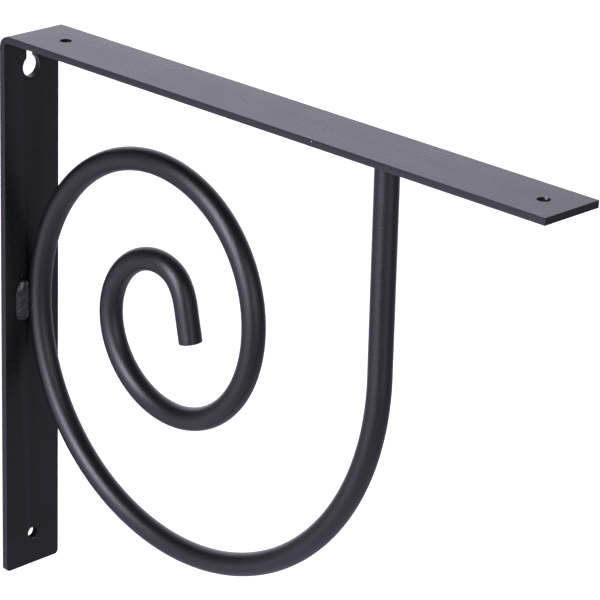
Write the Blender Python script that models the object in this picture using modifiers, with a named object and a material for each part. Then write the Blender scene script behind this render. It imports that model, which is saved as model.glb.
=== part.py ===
"""Scroll shelf bracket: a flat steel angle with a round bar bent into a spiral under the arm.

Metres, +Z up. The wall is the plane X = 0 and the arm reaches out along +X. Y = 0 is the
middle of the flat bar. The origin is the middle of the face that lies on the wall.
"""
import bpy
import bmesh
from math import asin, cos, pi, radians, sin

# The flat bar, bent once into an angle
FLAT_WIDTH = 0.030
FLAT_THICKNESS = 0.003
ARM_LENGTH = 0.300
LEG_HEIGHT = 0.250
BEND_INNER_RADIUS = 0.0012
BEND_OUTER_RADIUS = 0.006
LEG_CORNER_RADIUS = 0.0018
ARM_CORNER_RADIUS = 0.0006
EDGE_ROUNDING = 0.0003

# Screw holes through the arm and the leg
SCREW_HOLE_DIAMETER = 0.0052
SHELF_HOLE_FROM_WALL = 0.025
SHELF_HOLE_FROM_END = 0.0135
WALL_HOLE_FROM_BOTTOM = 0.015

# The keyhole near the top of the leg: a round entry with a slot above it
KEYHOLE_DIAMETER = 0.0094
KEYHOLE_FROM_TOP = 0.0161
KEYHOLE_SLOT_WIDTH = 0.0055
KEYHOLE_SLOT_REACH = 0.008

# The round bar: a straight drop from the arm, then a spiral that turns ever tighter
BAR_DIAMETER = 0.010
DROP_LENGTH = 0.090
DROP_LEAN = radians(0.6)
TURN_STATION = radians(45)
TURN_RADII = (0.117, 0.1125, 0.1035, 0.0865, 0.088, 0.077, 0.0655, 0.054,
              0.0585, 0.048, 0.043, 0.0375, 0.031, 0.031, 0.0235, 0.0115)
LAST_TURN_RADIUS = 0.0305
WHOLE_TURN = radians(708)
EYE_STRAIGHT = 0.0156
BAR_END_CHAMFER = 0.0004

# The weld bead between the bar and the leg, on one side of the bar
WALL_WELD_LENGTH = 0.0196
WALL_WELD_WIDTH = 0.0088
WALL_WELD_HEIGHT = 0.0034
WALL_WELD_OFF_CENTRE = 0.0047
WALL_WELD_CENTRE_Z = 0.004
WALL_WELD_RIPPLES = 5
WALL_WELD_RIPPLE_DEPTH = 0.07
WALL_WELD_SQUARENESS = 0.6

# The weld ring that joins the bar's top end to the underside of the arm
SHELF_WELD_LEG = 0.0036

# Neighbouring solids keep this gap
GAP = 0.0003

# How finely the round stretches are divided
BEND_STEPS = 8
LEG_CORNER_STEPS = 6
ARM_CORNER_STEPS = 3
EDGE_STEPS = 2
HOLE_SIDES = 40
BAR_BEVEL_RESOLUTION = 6
PATH_STEP = radians(5)
BEAD_AROUND = 20
BEAD_ALONG = 30
RING_SEGMENTS = 36
FILLET_STEPS = 6

# Edges steeper than these are rounded, chamfered or drawn sharp
ROUNDED_EDGE_ANGLE = radians(50)
CHAMFERED_EDGE_ANGLE = radians(60)
SHARP_ANGLE = radians(40)
FLAT_ANGLE = radians(0.1)

CUT_MARGIN = 0.002
SAME_PLACE = 0.000001
POWDER_COAT = (0.012, 0.012, 0.014, 1.0)
POWDER_ROUGHNESS = 0.42

BAR_RADIUS = BAR_DIAMETER / 2
LEG_TOP = LEG_HEIGHT / 2
LEG_BOTTOM = -LEG_HEIGHT / 2
ARM_UNDERSIDE = LEG_TOP - FLAT_THICKNESS
CUT_DEPTH = FLAT_THICKNESS + 2 * CUT_MARGIN

# Rotations that turn a flat outline, drawn in X and Y and thickened along Z
FACING_Y = (pi / 2, 0, 0)
FACING_X = (pi / 2, 0, pi / 2)
FACING_Z = (0, 0, 0)


def clear_scene():
    for item in list(bpy.data.objects):
        bpy.data.objects.remove(item, do_unlink=True)


def new_collection(name):
    collection = bpy.data.collections.new(name)
    bpy.context.scene.collection.children.link(collection)
    return collection


def powder_coat(name):
    material = bpy.data.materials.new(name)
    material.use_nodes = True
    shader = material.node_tree.nodes["Principled BSDF"]
    shader.inputs["Base Color"].default_value = POWDER_COAT
    shader.inputs["Roughness"].default_value = POWDER_ROUGHNESS
    shader.inputs["Metallic"].default_value = 0.0
    return material


def arc(centre, radius, start, end, steps):
    """Points along an arc, both ends included; angles in radians."""
    turn = (end - start) / steps
    angles = [start + turn * i for i in range(steps + 1)]
    return [(centre[0] + radius * cos(a), centre[1] + radius * sin(a)) for a in angles]


def place(data, name, collection, location=(0, 0, 0), rotation=(0, 0, 0)):
    item = bpy.data.objects.new(name, data)
    item.location = location
    item.rotation_euler = rotation
    collection.objects.link(item)
    return item


def as_mesh(item):
    """Turn a curve object into a closed mesh object with the same name and place."""
    bpy.context.view_layer.update()
    name = item.name
    collection = item.users_collection[0]
    matrix = item.matrix_world.copy()
    evaluated = item.evaluated_get(bpy.context.evaluated_depsgraph_get())
    mesh = bpy.data.meshes.new_from_object(evaluated)
    bpy.data.objects.remove(item, do_unlink=True)
    mesh.transform(matrix)
    shape = bmesh.new()
    shape.from_mesh(mesh)
    bmesh.ops.remove_doubles(shape, verts=shape.verts, dist=SAME_PLACE)
    bmesh.ops.dissolve_limit(shape, angle_limit=FLAT_ANGLE, verts=shape.verts, edges=shape.edges)
    bmesh.ops.recalc_face_normals(shape, faces=shape.faces)
    shape.to_mesh(mesh)
    shape.free()
    return place(mesh, name, collection)


def flat_piece(name, outline, thickness, collection, location=(0, 0, 0), rotation=FACING_Z):
    """A closed flat outline thickened to both sides of its plane."""
    curve = bpy.data.curves.new(name, "CURVE")
    curve.dimensions = "2D"
    curve.fill_mode = "BOTH"
    curve.extrude = thickness / 2
    spline = curve.splines.new("POLY")
    spline.points.add(len(outline) - 1)
    for point, (u, v) in zip(spline.points, outline):
        point.co = (u, v, 0, 1)
    spline.use_cyclic_u = True
    return as_mesh(place(curve, name, collection, location, rotation))


def round_hole(name, diameter, depth, collection, location, rotation):
    outline = arc((0, 0), diameter / 2, 0, 2 * pi, HOLE_SIDES)[:-1]
    return flat_piece(name, outline, depth, collection, location, rotation)


def screw_hole(name, collection, location, rotation):
    return round_hole(name, SCREW_HOLE_DIAMETER, CUT_DEPTH, collection, location, rotation)


def mark_as_cutter(item):
    item.hide_render = True
    item.display_type = "WIRE"


def cut(target, cutter):
    mark_as_cutter(cutter)
    difference = target.modifiers.new("cut " + cutter.name, "BOOLEAN")
    difference.operation = "DIFFERENCE"
    difference.solver = "EXACT"
    difference.object = cutter


def shade(item, material):
    item.data.materials.clear()
    item.data.materials.append(material)
    item.data.shade_smooth()
    item.data.set_sharp_from_angle(angle=SHARP_ANGLE)


def angle_outline():
    """The side view of the bent flat bar, with the wall at u = 0. The bend is drawn a little thin."""
    inner = FLAT_THICKNESS + BEND_INNER_RADIUS
    outer = BEND_OUTER_RADIUS
    outline = [(0, LEG_BOTTOM), (FLAT_THICKNESS, LEG_BOTTOM)]
    outline += arc((inner, LEG_TOP - inner), BEND_INNER_RADIUS, pi, pi / 2, BEND_STEPS)
    outline += [(ARM_LENGTH, ARM_UNDERSIDE), (ARM_LENGTH, LEG_TOP)]
    outline += arc((outer, LEG_TOP - outer), outer, pi / 2, pi, BEND_STEPS)
    return outline


def round_end_corners(item):
    """Round the corners of the bar's two cut ends, across its thickness."""
    shape = bmesh.new()
    shape.from_mesh(item.data)

    def runs_across(edge, fixed, level, free):
        a, b = (vertex.co for vertex in edge.verts)
        at_level = abs(a[fixed] - level) < SAME_PLACE and abs(b[fixed] - level) < SAME_PLACE
        return at_level and abs(a[free] - b[free]) > FLAT_THICKNESS / 2 and abs(a.y - b.y) < SAME_PLACE

    def bevel(edges, radius, steps):
        bmesh.ops.bevel(shape, geom=edges, offset=radius, segments=steps, profile=0.5, affect="EDGES")

    bevel([e for e in shape.edges if runs_across(e, 2, LEG_BOTTOM, 0)], LEG_CORNER_RADIUS, LEG_CORNER_STEPS)
    bevel([e for e in shape.edges if runs_across(e, 0, ARM_LENGTH, 2)], ARM_CORNER_RADIUS, ARM_CORNER_STEPS)
    shape.to_mesh(item.data)
    shape.free()


def keyhole_outline():
    radius = KEYHOLE_DIAMETER / 2
    half_slot = KEYHOLE_SLOT_WIDTH / 2
    shoulder = asin(half_slot / radius)
    outline = arc((0, 0), radius, pi / 2 - shoulder, -3 * pi / 2 + shoulder, HOLE_SIDES)
    outline += arc((0, KEYHOLE_SLOT_REACH), half_slot, pi, 0, HOLE_SIDES // 2)
    return outline


def angle_bar(parts, cutters, material):
    bar = flat_piece("angle_bar", angle_outline(), FLAT_WIDTH, parts, rotation=FACING_Y)
    round_end_corners(bar)
    rounding = bar.modifiers.new("rolled edges", "BEVEL")
    rounding.width = EDGE_ROUNDING
    rounding.segments = EDGE_STEPS
    rounding.limit_method = "ANGLE"
    rounding.angle_limit = ROUNDED_EDGE_ANGLE

    arm_middle = LEG_TOP - FLAT_THICKNESS / 2
    leg_middle = FLAT_THICKNESS / 2
    for label, along in (("back", SHELF_HOLE_FROM_WALL), ("front", ARM_LENGTH - SHELF_HOLE_FROM_END)):
        name = "shelf_hole_" + label
        cut(bar, screw_hole(name, cutters, (along, 0, arm_middle), FACING_Z))
    low = (leg_middle, 0, LEG_BOTTOM + WALL_HOLE_FROM_BOTTOM)
    cut(bar, screw_hole("wall_hole", cutters, low, FACING_X))
    high = (leg_middle, 0, LEG_TOP - KEYHOLE_FROM_TOP)
    cut(bar, flat_piece("keyhole", keyhole_outline(), CUT_DEPTH, cutters, high, FACING_X))
    shade(bar, material)
    return bar


def bend_radius(turned):
    """The bend radius changes evenly between one eighth of a turn and the next."""
    last = len(TURN_RADII) - 1
    k = int(turned / TURN_STATION)
    if k < last:
        share = turned / TURN_STATION - k
        return TURN_RADII[k] + share * (TURN_RADII[k + 1] - TURN_RADII[k])
    share = (turned - last * TURN_STATION) / (WHOLE_TURN - last * TURN_STATION)
    return TURN_RADII[last] + share * (LAST_TURN_RADIUS - TURN_RADII[last])


def scroll_path(step=PATH_STEP):
    """The bar's centre line in X and Z, from the arm down and round into the eye.

    The whole line is shifted so that its outer turn lies against the leg.
    """
    heading = -pi / 2 + DROP_LEAN
    x, z = 0.0, ARM_UNDERSIDE - GAP
    line = [(x, z)]
    x, z = x + DROP_LENGTH * cos(heading), z + DROP_LENGTH * sin(heading)
    line.append((x, z))
    steps = round(WHOLE_TURN / step)
    turn = WHOLE_TURN / steps
    for i in range(steps):
        chord = 2 * bend_radius((i + 0.5) * turn) * sin(turn / 2)
        x += chord * cos(heading - turn / 2)
        z += chord * sin(heading - turn / 2)
        heading -= turn
        line.append((x, z))
    line.append((x + EYE_STRAIGHT * cos(heading), z + EYE_STRAIGHT * sin(heading)))
    shift = FLAT_THICKNESS + GAP + BAR_RADIUS - min(u for u, v in line)
    return [(u + shift, v) for u, v in line]


def scroll_bar(parts, material):
    curve = bpy.data.curves.new("scroll_bar", "CURVE")
    curve.dimensions = "3D"
    curve.bevel_depth = BAR_RADIUS
    curve.bevel_resolution = BAR_BEVEL_RESOLUTION
    curve.use_fill_caps = True
    line = scroll_path()
    spline = curve.splines.new("POLY")
    spline.points.add(len(line) - 1)
    for point, (x, z) in zip(spline.points, line):
        point.co = (x, 0, z, 1)
    bar = as_mesh(place(curve, "scroll_bar", parts))
    chamfer = bar.modifiers.new("end chamfer", "BEVEL")
    chamfer.width = BAR_END_CHAMFER
    chamfer.segments = 1
    chamfer.limit_method = "ANGLE"
    chamfer.angle_limit = CHAMFERED_EDGE_ANGLE
    shade(bar, material)
    return bar


def wall_weld(parts, cutters, material):
    """A rippled bead in the corner between the leg and the near side of the bar."""
    mesh = bpy.data.meshes.new("wall_weld")
    shape = bmesh.new()
    bmesh.ops.create_uvsphere(shape, u_segments=BEAD_AROUND, v_segments=BEAD_ALONG, radius=1)

    def squared(value):
        return abs(value) ** WALL_WELD_SQUARENESS * (1 if value >= 0 else -1)

    for vertex in shape.verts:
        x, y, z = vertex.co
        along = squared(z)
        swell = 1 + WALL_WELD_RIPPLE_DEPTH * cos(WALL_WELD_RIPPLES * pi * along)
        vertex.co = (x * WALL_WELD_HEIGHT * swell, y * WALL_WELD_WIDTH / 2 * swell,
                     along * WALL_WELD_LENGTH / 2)
    bmesh.ops.recalc_face_normals(shape, faces=shape.faces)
    shape.to_mesh(mesh)
    shape.free()
    leg_face = FLAT_THICKNESS + GAP
    bead = place(mesh, "wall_weld", parts, (leg_face, -WALL_WELD_OFF_CENTRE, WALL_WELD_CENTRE_Z))

    side = FLAT_WIDTH
    block = [(-side, -side), (0, -side), (0, side), (-side, side)]
    cut(bead, flat_piece("leg_side", block, side, cutters, (leg_face, 0, WALL_WELD_CENTRE_Z)))
    centre = (leg_face + BAR_RADIUS, 0, WALL_WELD_CENTRE_Z)
    cut(bead, round_hole("bar_clearance", BAR_DIAMETER + 2 * GAP, side, cutters, centre, FACING_Z))
    shade(bead, material)
    return bead


def shelf_weld(parts, material, top_of_bar):
    """A full, rounded fillet in the corner all round the top end of the bar."""
    inner = BAR_RADIUS + GAP
    top = -GAP
    profile = [(inner, top)] + arc((inner, top), SHELF_WELD_LEG, 0, -pi / 2, FILLET_STEPS)
    mesh = bpy.data.meshes.new("shelf_weld")
    shape = bmesh.new()
    ring = [shape.verts.new((radius, 0, height)) for radius, height in profile]
    for a, b in zip(ring, ring[1:] + ring[:1]):
        shape.edges.new((a, b))
    shape.to_mesh(mesh)
    shape.free()
    weld = place(mesh, "shelf_weld", parts, (top_of_bar, 0, ARM_UNDERSIDE))
    turned = weld.modifiers.new("turned", "SCREW")
    turned.steps = RING_SEGMENTS
    turned.render_steps = RING_SEGMENTS
    turned.use_merge_vertices = True
    turned.merge_threshold = SAME_PLACE
    shade(weld, material)
    return weld


def build():
    clear_scene()
    parts = new_collection("shelf_bracket")
    cutters = new_collection("cutters")
    angle_bar(parts, cutters, powder_coat("angle_bar_black"))
    scroll_bar(parts, powder_coat("scroll_bar_black"))
    wall_weld(parts, cutters, powder_coat("wall_weld_black"))
    shelf_weld(parts, powder_coat("shelf_weld_black"), scroll_path()[0][0])


build()
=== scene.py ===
"""Scroll shelf bracket, dressed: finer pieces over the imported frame, powder coat and studio light."""
from math import asin, cos, exp, pi, radians, sin, tau

import bmesh
import bpy
from mathutils import Matrix, Vector, noise


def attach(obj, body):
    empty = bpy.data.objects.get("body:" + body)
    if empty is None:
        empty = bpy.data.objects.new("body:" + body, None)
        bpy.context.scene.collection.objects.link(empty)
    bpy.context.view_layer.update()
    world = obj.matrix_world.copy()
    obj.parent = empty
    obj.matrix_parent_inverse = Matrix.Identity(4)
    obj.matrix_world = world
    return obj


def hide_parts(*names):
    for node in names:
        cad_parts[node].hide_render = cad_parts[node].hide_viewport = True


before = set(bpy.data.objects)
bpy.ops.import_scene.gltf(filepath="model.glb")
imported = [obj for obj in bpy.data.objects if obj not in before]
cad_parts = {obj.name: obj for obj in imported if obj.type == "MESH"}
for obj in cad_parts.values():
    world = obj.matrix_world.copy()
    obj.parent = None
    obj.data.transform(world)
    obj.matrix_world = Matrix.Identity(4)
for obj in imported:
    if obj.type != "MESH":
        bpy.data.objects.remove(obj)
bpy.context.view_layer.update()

# Sizes, in metres.
FLAT_WIDTH = 0.030
FLAT_THICKNESS = 0.003
ARM_LENGTH = 0.300
LEG_HEIGHT = 0.250
BEND_INNER_RADIUS = 0.0012
BEND_OUTER_RADIUS = 0.006
LEG_CORNER_RADIUS = 0.0018
ARM_CORNER_RADIUS = 0.0006
EDGE_ROUNDING = 0.0003

SCREW_HOLE_DIAMETER = 0.0052
SHELF_HOLE_FROM_WALL = 0.025
SHELF_HOLE_FROM_END = 0.0135
WALL_HOLE_FROM_BOTTOM = 0.015
KEYHOLE_DIAMETER = 0.0094
KEYHOLE_FROM_TOP = 0.0161
KEYHOLE_SLOT_WIDTH = 0.0055
KEYHOLE_SLOT_REACH = 0.008

BAR_DIAMETER = 0.010
DROP_LENGTH = 0.090
DROP_LEAN = radians(0.6)
TURN_STATION = radians(45)
TURN_RADII = (0.117, 0.1125, 0.1035, 0.0865, 0.088, 0.077, 0.0655, 0.054,
              0.0585, 0.048, 0.043, 0.0375, 0.031, 0.031, 0.0235, 0.0115)
LAST_TURN_RADIUS = 0.0305
WHOLE_TURN = radians(708)
EYE_STRAIGHT = 0.0156
BAR_END_ROUNDING = 0.0005

SHELF_WELD_LEG = 0.0036
GAP = 0.0003

BAR_RADIUS = BAR_DIAMETER / 2
LEG_TOP = LEG_HEIGHT / 2
LEG_BOTTOM = -LEG_HEIGHT / 2
ARM_UNDERSIDE = LEG_TOP - FLAT_THICKNESS

# How fine the pieces are.
BEND_STEPS = 24
CORNER_STEPS = 10
HOLE_SIDES = 96
EDGE_STEPS = 3
BAR_SIDES = 64
PATH_STEP = radians(1.25)
DROP_STEPS = 40
EYE_STEPS = 8
BAR_END_STEPS = 5
WALL_WELD_STEPS_ACROSS = 48
WALL_WELD_STEPS_ALONG = 150
SHELF_WELD_SIDES = 144
SHELF_WELD_STEPS = 12

# The powder coat: linear colours, noise scales in waves per metre, and the relief's strength and depth.
COAT_DARK = (0.0012, 0.0012, 0.0016, 1)
COAT_LIGHT = (0.0026, 0.0026, 0.0033, 1)
SPECK_COLOUR = (0.013, 0.013, 0.016, 1)
WORN_COLOUR = (0.035, 0.035, 0.039, 1)
NIB_COLOUR = (0.25, 0.25, 0.27, 1)
# The colour of the low hole's wall, part of the painted shade inside that hole.
BORE_SHADE_COLOUR = (0.002, 0.002, 0.002, 1)
BAR_ROUGHNESS = 0.32
FLAT_ROUGHNESS = 0.28
WELD_ROUGHNESS = 0.42
ROUGHNESS_SWING = 0.02
CLOUD_SCALE = 24
PEEL_SCALE = 800
GRAIN_SCALE = 1900
DUST_SCALE = 150
PEEL_RELIEF = (0.60, 0.00012)
GRAIN_RELIEF = (0.75, 0.00010)

# The camera, solved from the straight edges of the flat bar in the photograph: degrees, metres, pixels.
CAMERA_AZIMUTH, CAMERA_ELEVATION, CAMERA_ROLL = 44.1419, 21.1891, 1.8996
CAMERA_TARGET = Vector((0.166206, -0.000125, 0.050661))
CAMERA_DISTANCE = 1.16542
FOCAL_PIXELS = 2948.6261
FRAME_PIXELS = 600
SENSOR_WIDTH = 36

# The studio light: what reaches the object from its surroundings.
AMBIENT = (0.085, 0.086, 0.128)
PATCHES = (  # azimuth, elevation, tightness, strength, colour
    (3, 5, 24, 4.3, (1.02, 0.98, 1.08)),        # a tall soft box in front on the left, its lower part
    (0, 29, 28, 10.8, (1.00, 0.99, 1.10)),      # its upper part
    (0, 17, 8, 1.6, (1.00, 0.97, 1.35)),        # and the glow round both
    (82, 8, 12, 2.35, (1.03, 0.97, 1.10)),      # a weaker, broader soft box in front on the right
    (230, 8, 6, 1.15, (1.00, 0.97, 1.10)),      # the pale backdrop behind
    (190, 12, 10, 0.68, (1.00, 1.00, 1.18)),    # and its right-hand end
    (12, -72, 1.5, 0.62, (1.02, 0.98, 1.24)),   # the pale table underneath
    (-24, -16, 8, 0.79, (1.00, 0.97, 1.20)),    # and its lit front edge
    (160, -30, 4, 0.17, (1.05, 0.98, 1.02)),    # a faint glow behind on the right
    (-98, -12, 8, 0.46, (1.02, 0.97, 1.02)),    # and one on the far left
    (0, 90, 4, 0.10, (1.00, 0.98, 1.05)),       # a faint glow overhead
)

# The floor, in metres.
FLOOR_RADIUS = 12
FLOOR_DEPTH = 1.2

PARTS = bpy.data.collections.new("shelf_bracket")
bpy.context.scene.collection.children.link(PARTS)


def arc(centre, radius, start, end, steps):
    turn = (end - start) / steps
    return [(centre[0] + radius * cos(start + turn * i), centre[1] + radius * sin(start + turn * i))
            for i in range(steps + 1)]


def add_object(name, shape, material=None):
    """Store a bmesh as an object with smooth faces and outward normals."""
    bmesh.ops.recalc_face_normals(shape, faces=shape.faces)
    mesh = bpy.data.meshes.new(name)
    shape.to_mesh(mesh)
    shape.free()
    mesh.shade_smooth()
    if material:
        mesh.materials.append(material)
    item = bpy.data.objects.new(name, mesh)
    PARTS.objects.link(item)
    return item


def prism(outline, to_world, thickness):
    """A closed prism from a flat outline; to_world turns (u, v, w) into x, y, z."""
    shape = bmesh.new()
    low = [shape.verts.new(to_world(u, v, -thickness / 2)) for u, v in outline]
    high = [shape.verts.new(to_world(u, v, thickness / 2)) for u, v in outline]
    shape.faces.new(low)
    shape.faces.new(high[::-1])
    count = len(outline)
    for i in range(count):
        j = (i + 1) % count
        shape.faces.new((low[i], low[j], high[j], high[i]))
    return shape


# The powder coat.
def powder_coat(name, roughness, peel=1.0, sheen=0.5, glints_and_dust=(), shaded_bore=None):
    """Black powder coat: fine orange peel, faint clouding, paler thin edges and a few specks.

    peel scales the relief, and sheen is the specular level. chips holds the middle, the radius
    and the grey of each pale spot: painted highlights on two hole rims, and a dust grain. shaded_bore
    is the middle and the radius of a hole along X whose wall is made dark, rough and barely
    reflective: painted shade inside the hole.
    """
    material = bpy.data.materials.new(name)
    material.use_nodes = True
    tree = material.node_tree
    shader = tree.nodes["Principled BSDF"]
    shader.inputs["Metallic"].default_value = 0.0
    shader.inputs["IOR"].default_value = 1.5
    shader.inputs["Specular IOR Level"].default_value = sheen
    link = tree.links.new

    def node(kind, **values):
        item = tree.nodes.new(kind)
        for key, value in values.items():
            if hasattr(item, key):
                setattr(item, key, value)
            else:
                item.inputs[key].default_value = value
        return item

    place = node("ShaderNodeTexCoord")

    def noise_at(scale, detail):
        item = node("ShaderNodeTexNoise")
        item.inputs["Scale"].default_value = scale
        item.inputs["Detail"].default_value = detail
        item.inputs["Roughness"].default_value = 0.55
        link(place.outputs["Object"], item.inputs["Vector"])
        return item

    def ranged(source, low, high, out_low, out_high):
        item = node("ShaderNodeMapRange")
        item.clamp = True
        sockets = ("From Min", "From Max", "To Min", "To Max")
        for socket, value in zip(sockets, (low, high, out_low, out_high)):
            item.inputs[socket].default_value = value
        link(source, item.inputs["Value"])
        return item.outputs["Result"]

    def mixed(factor, a, b):
        item = node("ShaderNodeMix", data_type="RGBA")
        link(factor, item.inputs[0])
        for socket, value in ((item.inputs[6], a), (item.inputs[7], b)):
            if isinstance(value, tuple):
                socket.default_value = value
            else:
                link(value, socket)
        return item.outputs[2]

    def distance_from(point, axes):
        offset = node("ShaderNodeVectorMath", operation="SUBTRACT")
        link(place.outputs["Object"], offset.inputs[0])
        offset.inputs[1].default_value = point
        kept = node("ShaderNodeVectorMath", operation="MULTIPLY")
        link(offset.outputs[0], kept.inputs[0])
        kept.inputs[1].default_value = axes
        length = node("ShaderNodeVectorMath", operation="LENGTH")
        link(kept.outputs[0], length.inputs[0])
        return length.outputs["Value"]

    clouds = noise_at(CLOUD_SCALE, 4)
    grain = noise_at(GRAIN_SCALE, 2)
    peel_waves = noise_at(PEEL_SCALE, 2)
    dust = node("ShaderNodeTexVoronoi")
    dust.inputs["Scale"].default_value = DUST_SCALE
    link(place.outputs["Object"], dust.inputs["Vector"])

    base = mixed(ranged(clouds.outputs["Fac"], 0.35, 0.65, 0, 1), COAT_DARK, COAT_LIGHT)
    speckled = mixed(ranged(grain.outputs["Fac"], 0.50, 0.68, 0, 0.7), base, SPECK_COLOUR)
    edges = node("ShaderNodeNewGeometry")
    worn = mixed(ranged(edges.outputs["Pointiness"], 0.53, 0.62, 0, 0.35), speckled, WORN_COLOUR)

    # One cell in forty of a coarse cell pattern carries a dust nib up to a third of a millimetre wide.
    near = node("ShaderNodeMath", operation="LESS_THAN")
    link(dust.outputs["Distance"], near.inputs[0])
    near.inputs[1].default_value = 0.028
    pick = node("ShaderNodeSeparateColor")
    link(dust.outputs["Color"], pick.inputs[0])
    rare = node("ShaderNodeMath", operation="GREATER_THAN")
    link(pick.outputs[0], rare.inputs[0])
    rare.inputs[1].default_value = 0.975
    nib = node("ShaderNodeMath", operation="MULTIPLY")
    link(near.outputs[0], nib.inputs[0])
    link(rare.outputs[0], nib.inputs[1])
    coloured = mixed(nib.outputs[0], worn, NIB_COLOUR)

    # Pale spots: painted highlights on hole rims, and a dust grain.
    for middle, radius, grey in glints_and_dust:
        ragged = node("ShaderNodeMath", operation="MULTIPLY_ADD")
        link(peel_waves.outputs["Fac"], ragged.inputs[0])
        ragged.inputs[1].default_value = radius
        link(distance_from(middle, (1, 1, 1)), ragged.inputs[2])
        pale_spot = ranged(ragged.outputs[0], radius * 1.35, radius * 1.65, 1, 0)
        coloured = mixed(pale_spot, coloured, (grey, grey, grey * 1.04, 1))

    rough = ranged(clouds.outputs["Fac"], 0.3, 0.7, roughness - ROUGHNESS_SWING, roughness + ROUGHNESS_SWING)
    # Painted shade inside a hole: its wall gets a flat dark colour, more roughness and little reflection.
    if shaded_bore:
        middle, radius = shaded_bore
        dull = ranged(distance_from(middle, (0, 1, 1)), radius + 0.00006, radius + 0.00016, 1, 0)
        coloured = mixed(dull, coloured, BORE_SHADE_COLOUR)
        duller = node("ShaderNodeMath", operation="MULTIPLY_ADD")
        link(dull, duller.inputs[0])
        duller.inputs[1].default_value = 0.45
        link(rough, duller.inputs[2])
        rough = duller.outputs[0]
        link(ranged(dull, 0, 1, sheen, 0.1), shader.inputs["Specular IOR Level"])
    link(coloured, shader.inputs["Base Color"])
    link(rough, shader.inputs["Roughness"])

    def relief(height, strength, depth):
        item = node("ShaderNodeBump")
        item.inputs["Strength"].default_value = strength * peel
        item.inputs["Distance"].default_value = depth
        link(height.outputs["Fac"], item.inputs["Height"])
        return item

    coarse = relief(peel_waves, *PEEL_RELIEF)
    fine = relief(grain, *GRAIN_RELIEF)
    link(coarse.outputs["Normal"], fine.inputs["Normal"])
    link(fine.outputs["Normal"], shader.inputs["Normal"])
    return material


# The bent flat bar.
def upright(u, v, w):
    return (u, w, v)


def facing_wall(u, v, w):
    return (w, u, v)


def facing_up(u, v, w):
    return (u, v, w)


def moved(to_world, x, y, z):
    def place(u, v, w):
        a, b, c = to_world(u, v, w)
        return (a + x, b + y, c + z)
    return place


def angle_outline():
    inner = FLAT_THICKNESS + BEND_INNER_RADIUS
    outer = BEND_OUTER_RADIUS
    outline = [(0, LEG_BOTTOM), (FLAT_THICKNESS, LEG_BOTTOM)]
    outline += arc((inner, LEG_TOP - inner), BEND_INNER_RADIUS, pi, pi / 2, BEND_STEPS)
    outline += [(ARM_LENGTH, ARM_UNDERSIDE), (ARM_LENGTH, LEG_TOP)]
    outline += arc((outer, LEG_TOP - outer), outer, pi / 2, pi, BEND_STEPS)
    return outline


def keyhole_outline():
    radius = KEYHOLE_DIAMETER / 2
    half_slot = KEYHOLE_SLOT_WIDTH / 2
    shoulder = asin(half_slot / radius)
    outline = arc((0, 0), radius, pi / 2 - shoulder, -3 * pi / 2 + shoulder, HOLE_SIDES)
    outline += arc((0, KEYHOLE_SLOT_REACH), half_slot, pi, 0, HOLE_SIDES // 2)
    return outline


def round_end_corners(shape):
    tiny = 1e-6

    def across(edge, fixed, level, free):
        a, b = (vertex.co for vertex in edge.verts)
        return (abs(a[fixed] - level) < tiny and abs(b[fixed] - level) < tiny
                and abs(a[free] - b[free]) > FLAT_THICKNESS / 2 and abs(a.y - b.y) < tiny)

    for fixed, level, free, radius in (
            (2, LEG_BOTTOM, 0, LEG_CORNER_RADIUS), (0, ARM_LENGTH, 2, ARM_CORNER_RADIUS)):
        edges = [e for e in shape.edges if across(e, fixed, level, free)]
        bmesh.ops.bevel(shape, geom=edges, offset=radius, segments=CORNER_STEPS, profile=0.5, affect="EDGES")


def apply_modifiers(item):
    bpy.context.view_layer.update()
    evaluated = item.evaluated_get(bpy.context.evaluated_depsgraph_get())
    mesh = bpy.data.meshes.new_from_object(evaluated)
    item.modifiers.clear()
    item.data = mesh


def make_angle_bar(material):
    shape = prism(angle_outline(), upright, FLAT_WIDTH)
    round_end_corners(shape)
    bar = add_object("angle_bar_coated", shape)
    depth = FLAT_THICKNESS * 3
    round_outline = arc((0, 0), SCREW_HOLE_DIAMETER / 2, 0, tau, HOLE_SIDES)[:-1]
    arm_middle = LEG_TOP - FLAT_THICKNESS / 2
    leg_middle = FLAT_THICKNESS / 2
    cutters = []
    for name, outline, place in (
            ("back", round_outline, moved(facing_up, SHELF_HOLE_FROM_WALL, 0, arm_middle)),
            ("front", round_outline, moved(facing_up, ARM_LENGTH - SHELF_HOLE_FROM_END, 0, arm_middle)),
            ("low", round_outline, moved(facing_wall, leg_middle, 0, LEG_BOTTOM + WALL_HOLE_FROM_BOTTOM)),
            ("key", keyhole_outline(), moved(facing_wall, leg_middle, 0, LEG_TOP - KEYHOLE_FROM_TOP))):
        cutter = add_object("cut_" + name, prism(outline, place, depth))
        cutters.append(cutter)
        difference = bar.modifiers.new(name, "BOOLEAN")
        difference.operation = "DIFFERENCE"
        difference.solver = "EXACT"
        difference.object = cutter
    rounding = bar.modifiers.new("rounding", "BEVEL")
    rounding.width = EDGE_ROUNDING
    rounding.segments = EDGE_STEPS
    rounding.limit_method = "ANGLE"
    rounding.angle_limit = radians(35)
    rounding.harden_normals = True
    apply_modifiers(bar)
    for cutter in cutters:
        bpy.data.objects.remove(cutter, do_unlink=True)
    bar.data.materials.clear()
    bar.data.materials.append(material)
    return bar


# The scrolled round bar.
def bend_radius(turned):
    last = len(TURN_RADII) - 1
    k = int(turned / TURN_STATION)
    if k < last:
        share = turned / TURN_STATION - k
        return TURN_RADII[k] + share * (TURN_RADII[k + 1] - TURN_RADII[k])
    share = (turned - last * TURN_STATION) / (WHOLE_TURN - last * TURN_STATION)
    return TURN_RADII[last] + share * (LAST_TURN_RADIUS - TURN_RADII[last])


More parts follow.
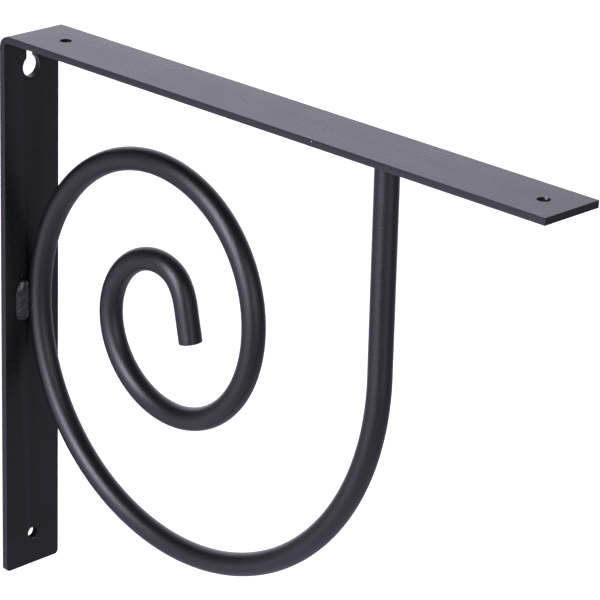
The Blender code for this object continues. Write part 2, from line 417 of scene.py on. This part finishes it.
def scroll_path():
    """Centre line points with their headings, in X and Z, from the arm down and round into the eye."""
    heading = -pi / 2 + DROP_LEAN
    x, z = 0.0, ARM_UNDERSIDE - GAP
    line = []
    for i in range(DROP_STEPS + 1):
        run = DROP_LENGTH * i / DROP_STEPS
        line.append((x + run * cos(heading), z + run * sin(heading), heading))
    x, z, _ = line[-1]
    steps = round(WHOLE_TURN / PATH_STEP)
    turn = WHOLE_TURN / steps
    for i in range(steps):
        chord = 2 * bend_radius((i + 0.5) * turn) * sin(turn / 2)
        x += chord * cos(heading - turn / 2)
        z += chord * sin(heading - turn / 2)
        heading -= turn
        line.append((x, z, heading))
    for i in range(1, EYE_STEPS + 1):
        run = (EYE_STRAIGHT - BAR_END_ROUNDING) * i / EYE_STEPS
        line.append((x + run * cos(heading), z + run * sin(heading), heading))
    shift = FLAT_THICKNESS + GAP + BAR_RADIUS - min(point[0] for point in line)
    return [(u + shift, v, h) for u, v, h in line]


def make_scroll_bar(material):
    line = scroll_path()
    shape = bmesh.new()

    def ring(x, z, heading, radius):
        side = Vector((-sin(heading), 0, cos(heading)))
        middle = Vector((x, 0, z))
        points = []
        for i in range(BAR_SIDES):
            a = tau * i / BAR_SIDES
            points.append(shape.verts.new(middle + radius * (cos(a) * side + sin(a) * Vector((0, 1, 0)))))
        return points

    rings = [ring(x, z, heading, BAR_RADIUS) for x, z, heading in line]
    x, z, heading = line[-1]
    for i in range(1, BAR_END_STEPS + 1):
        a = pi / 2 * i / BAR_END_STEPS
        ahead = BAR_END_ROUNDING * sin(a)
        radius = BAR_RADIUS - BAR_END_ROUNDING * (1 - cos(a))
        rings.append(ring(x + ahead * cos(heading), z + ahead * sin(heading), heading, radius))
    for a, b in zip(rings, rings[1:]):
        for i in range(BAR_SIDES):
            j = (i + 1) % BAR_SIDES
            shape.faces.new((a[i], a[j], b[j], b[i]))
    shape.faces.new(rings[0][::-1])
    # The sawn end is flat and closed by smaller rings.
    last = rings[-1]
    end_x, end_z = x + BAR_END_ROUNDING * cos(heading), z + BAR_END_ROUNDING * sin(heading)
    for share in (0.8, 0.5, 0.2):
        inner = ring(end_x, end_z, heading, (BAR_RADIUS - BAR_END_ROUNDING) * share)
        for i in range(BAR_SIDES):
            j = (i + 1) % BAR_SIDES
            shape.faces.new((last[i], last[j], inner[j], inner[i]))
        last = inner
    shape.faces.new(last)
    return add_object("scroll_bar_coated", shape, material)


# The welds.
def make_wall_weld(material):
    """A fat fillet between the leg and the near side of the bar, with ridges and a streaked upper corner."""
    corner_x, corner_y = FLAT_THICKNESS, -0.0049
    up_the_bar, middle_z, half_length = 0.0037, 0.0041, 0.0098
    foot_width, lost_at_top, lost_at_bottom = 0.0042, 0.0019, 0.0006
    off_the_bar, sunk = 0.00002, 0.0001
    millimetre = 0.001
    across, along = WALL_WELD_STEPS_ACROSS, WALL_WELD_STEPS_ALONG
    shape = bmesh.new()

    lumps = (  # place across (0 foot, 1 bar), place along (-1 bottom, 1 top), widths, height in millimetres
        (0.93, 0.80, 0.080, 0.16, 0.50), (0.97, 0.42, 0.06, 0.14, 0.18), (0.93, -0.78, 0.080, 0.15, 0.52),
        (0.96, -0.02, 0.06, 0.12, 0.16), (0.20, 0.42, 0.14, 0.28, 0.08), (0.50, -0.72, 0.14, 0.12, 0.08),
        (0.34, -0.02, 0.14, 0.08, 0.18), (0.64, 0.14, 0.14, 0.09, 0.10), (0.30, -0.45, 0.20, 0.14, 0.08),
        (0.72, 0.82, 0.06, 0.16, -0.20), (0.30, 0.74, 0.05, 0.16, 0.10))

    def streak(u, v):
        """A raised run of metal that slants across the upper outer corner."""
        off_line = u - (0.48 + 0.60 * (v - 0.56))
        return 0.14 * exp(-(off_line / 0.110) ** 2) * exp(-((v - 0.78) / 0.26) ** 4)

    def surface(u, v):
        upper, lower = max(0.0, v - 0.35) / 0.65, max(0.0, -v - 0.6) / 0.4
        foot = foot_width - lost_at_top * upper ** 1.4 - lost_at_bottom * lower ** 1.5
        fullness = 1.3 + 1.6 * upper
        a = pi / 2 * u
        c, s = cos(a), sin(a)
        reach = ((c / foot) ** fullness + (s / up_the_bar) ** fullness) ** (-1 / fullness)
        y, z = foot * (1 - u), half_length * v
        gain = sum(h * exp(-((u - cu) / wu) ** 2 - ((v - cv) / wv) ** 2) for cu, cv, wu, wv, h in lumps)
        gain += streak(u, v)
        gain += 0.18 * noise.noise(Vector((y * 800, z * 520, 3.1)))
        gain += 0.06 * noise.noise(Vector((y * 2300, z * 1900, 7.7)))
        end = max(0.0, 1 - abs(v) ** 11) ** 0.42
        reach = (reach + gain * millimetre * sin(pi / 2 * min(1.0, 6 * u))) * end
        x, y = corner_x + reach * s, corner_y - reach * c
        from_bar = Vector((x - corner_x - BAR_RADIUS, y))
        if from_bar.length < BAR_RADIUS + off_the_bar:
            from_bar = from_bar.normalized() * (BAR_RADIUS + off_the_bar)
            x, y = corner_x + BAR_RADIUS + from_bar.x, from_bar.y
        rise = (x - corner_x) * abs(v) * (0.14 if v > 0 else 0.34)
        wander = noise.noise(Vector((u * 2.6, v * 3.0, 1.9))) * 0.00025
        return (x, y, middle_z + z + rise + wander)

    loops = []
    for j in range(along + 1):
        v = -cos(pi * j / along) * 0.35 + (-1 + 2 * j / along) * 0.65
        loop = [surface(i / across, v) for i in range(across + 1)]
        behind = FLAT_THICKNESS - sunk
        loop.insert(0, (behind, loop[0][1], loop[0][2]))
        loop.append((behind, corner_y + 0.0010, loop[-1][2]))
        loops.append([shape.verts.new(point) for point in loop])
    count = len(loops[0])
    for a, b in zip(loops, loops[1:]):
        for i in range(count):
            j = (i + 1) % count
            shape.faces.new((a[i], a[j], b[j], b[i]))
    shape.faces.new(loops[0][::-1])
    shape.faces.new(loops[-1])

    # A spatter bead stuck to the leg just above the weld.
    spatter = bmesh.ops.create_uvsphere(shape, u_segments=20, v_segments=12, radius=0.00035)
    for vertex in spatter["verts"]:
        vertex.co = Vector((vertex.co.x * 0.9 + FLAT_THICKNESS, vertex.co.y - 0.0057,
                            vertex.co.z * 2.2 + middle_z + half_length + 0.0009))
    return add_object("wall_weld_bead", shape, material)


def make_shelf_weld(material, middle_x):
    """A full fillet all round the top of the bar, with the small waves of a hand-laid weld."""
    around, steps = SHELF_WELD_SIDES, SHELF_WELD_STEPS
    sunk, collar = 0.0001, 0.0004
    inner = BAR_RADIUS - sunk
    shape = bmesh.new()
    loops = []
    for k in range(around):
        a = tau * k / around
        wave = 0.045 * sin(9 * a) + 0.10 * noise.noise(Vector((cos(a) * 1.7, sin(a) * 1.7, 5.3)))
        reach = (SHELF_WELD_LEG - collar) * (1 + wave)
        loop = []
        for s in range(steps + 1):
            b = pi / 2 * s / steps
            grain = 1 + 0.03 * noise.noise(Vector((cos(a) * 9, sin(a) * 9, s * 0.9)))
            out = inner + collar + reach * cos(b) * grain
            down = reach * sin(b) * grain
            loop.append(shape.verts.new((middle_x + out * cos(a), out * sin(a), ARM_UNDERSIDE - down)))
        low = loop[-1].co.z
        loop.append(shape.verts.new((middle_x + inner * cos(a), inner * sin(a), low - sunk)))
        loop.append(shape.verts.new((middle_x + inner * cos(a), inner * sin(a), ARM_UNDERSIDE)))
        loops.append(loop)
    count = len(loops[0])
    for k in range(around):
        a, b = loops[k], loops[(k + 1) % around]
        for s in range(count):
            t = (s + 1) % count
            shape.faces.new((a[s], b[s], b[t], a[t]))
    return add_object("shelf_weld_bead", shape, material)


# Studio.
def direction(azimuth, elevation):
    """Azimuth 0 is towards -Y and 90 towards +X; both in degrees."""
    a, e = radians(azimuth), radians(elevation)
    return Vector((sin(a) * cos(e), -cos(a) * cos(e), sin(e)))


def make_camera():
    back = direction(CAMERA_AZIMUTH, CAMERA_ELEVATION)
    level = Vector((cos(radians(CAMERA_AZIMUTH)), sin(radians(CAMERA_AZIMUTH)), 0))
    upward = back.cross(level)
    roll = radians(CAMERA_ROLL)
    right = cos(roll) * level + sin(roll) * upward
    up = cos(roll) * upward - sin(roll) * level
    data = bpy.data.cameras.new("camera")
    data.sensor_width = SENSOR_WIDTH
    data.lens = SENSOR_WIDTH * FOCAL_PIXELS / FRAME_PIXELS
    data.clip_start = 0.01
    data.clip_end = 100
    camera = bpy.data.objects.new("camera", data)
    camera.matrix_world = Matrix((
        (right.x, up.x, back.x, 0), (right.y, up.y, back.y, 0), (right.z, up.z, back.z, 0), (0, 0, 0, 1)))
    camera.location = CAMERA_TARGET + back * CAMERA_DISTANCE
    bpy.context.scene.collection.objects.link(camera)
    bpy.context.scene.camera = camera


def make_light():
    """Soft light from broad patches of the surroundings. Behind the object the camera sees plain white."""
    world = bpy.data.worlds.new("studio")
    bpy.context.scene.world = world
    world.use_nodes = True
    tree = world.node_tree
    tree.nodes.clear()
    link = tree.links.new
    output = tree.nodes.new("ShaderNodeOutputWorld")
    place = tree.nodes.new("ShaderNodeTexCoord")

    def combined(kind, a, b):
        item = tree.nodes.new("ShaderNodeMath")
        item.operation = kind
        for socket, value in zip(item.inputs, (a, b)):
            if isinstance(value, (int, float)):
                socket.default_value = value
            else:
                link(value, socket)
        return item.outputs[0]

    def patch(azimuth, elevation, tightness, strength, colour):
        dot = tree.nodes.new("ShaderNodeVectorMath")
        dot.operation = "DOT_PRODUCT"
        link(place.outputs["Generated"], dot.inputs[0])
        dot.inputs[1].default_value = direction(azimuth, elevation)
        facing = combined("MAXIMUM", dot.outputs["Value"], 0.0)
        level = combined("MULTIPLY", combined("POWER", facing, tightness), strength)
        scale = tree.nodes.new("ShaderNodeVectorMath")
        scale.operation = "SCALE"
        scale.inputs[0].default_value = colour
        link(level, scale.inputs["Scale"])
        return scale.outputs["Vector"]

    total = tree.nodes.new("ShaderNodeCombineXYZ")
    for socket, value in zip(total.inputs, AMBIENT):
        socket.default_value = value
    total = total.outputs[0]
    for values in PATCHES:
        add = tree.nodes.new("ShaderNodeVectorMath")
        add.operation = "ADD"
        link(total, add.inputs[0])
        link(patch(*values), add.inputs[1])
        total = add.outputs["Vector"]
    lit = tree.nodes.new("ShaderNodeBackground")
    link(total, lit.inputs["Color"])
    plain = tree.nodes.new("ShaderNodeBackground")
    plain.inputs["Color"].default_value = (1, 1, 1, 1)
    plain.inputs["Strength"].default_value = 1.0
    path = tree.nodes.new("ShaderNodeLightPath")
    mix = tree.nodes.new("ShaderNodeMixShader")
    link(path.outputs["Is Camera Ray"], mix.inputs[0])
    link(lit.outputs[0], mix.inputs[1])
    link(plain.outputs[0], mix.inputs[2])
    link(mix.outputs[0], output.inputs["Surface"])


def make_floor():
    """A pale floor well below the object. Only the camera sees it, so it lends the object no light."""
    shape = bmesh.new()
    bmesh.ops.create_circle(shape, cap_ends=True, segments=96, radius=FLOOR_RADIUS)
    mesh = bpy.data.meshes.new("floor")
    shape.to_mesh(mesh)
    shape.free()
    floor = bpy.data.objects.new("floor", mesh)
    floor.location = (0, 0, -FLOOR_DEPTH)
    bpy.context.scene.collection.objects.link(floor)
    material = bpy.data.materials.new("pale_floor")
    material.use_nodes = True
    shader = material.node_tree.nodes["Principled BSDF"]
    shader.inputs["Base Color"].default_value = (0.86, 0.86, 0.87, 1)
    shader.inputs["Roughness"].default_value = 0.9
    shader.inputs["Emission Color"].default_value = (1, 1, 1, 1)
    shader.inputs["Emission Strength"].default_value = 0.55
    mesh.materials.append(material)
    floor.visible_diffuse = False
    floor.visible_glossy = False
    floor.visible_shadow = False


# Putting it together.
bpy.context.scene.view_settings.view_transform = "Standard"
make_camera()
make_light()
make_floor()

bar_coat = powder_coat("bar_black", BAR_ROUGHNESS, peel=1.15)
glints_and_dust = (  # middle, radius, grey
    # Painted highlights on the far rim of the arm's front hole and on the lower rim of the leg's low hole,
    # and a dust grain.
    ((ARM_LENGTH - SHELF_HOLE_FROM_END - 0.00085, 0.00250, LEG_TOP - 0.00030), 0.0006, 0.22),
    ((FLAT_THICKNESS, 0.0004, LEG_BOTTOM + 0.01225), 0.0007, 0.07),
    ((0.1839, -FLAT_WIDTH / 2, 0.1241), 0.00022, 0.40))
# The low hole's wall is made dark and dull: painted shade inside the hole.
low_hole_middle = (FLAT_THICKNESS / 2, 0, LEG_BOTTOM + WALL_HOLE_FROM_BOTTOM)
low_bore = (low_hole_middle, SCREW_HOLE_DIAMETER / 2)
flat_coat = powder_coat("flat_black", FLAT_ROUGHNESS, peel=1.3, glints_and_dust=glints_and_dust, shaded_bore=low_bore)
weld_coat = powder_coat("weld_black", WELD_ROUGHNESS, peel=1.2, sheen=0.42)

for piece, replaced in (
        (make_angle_bar(flat_coat), "angle_bar"),
        (make_scroll_bar(bar_coat), "scroll_bar"),
        (make_wall_weld(weld_coat), "wall_weld"),
        (make_shelf_weld(weld_coat, scroll_path()[0][0]), "shelf_weld")):
    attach(piece, "root")
    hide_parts(replaced)
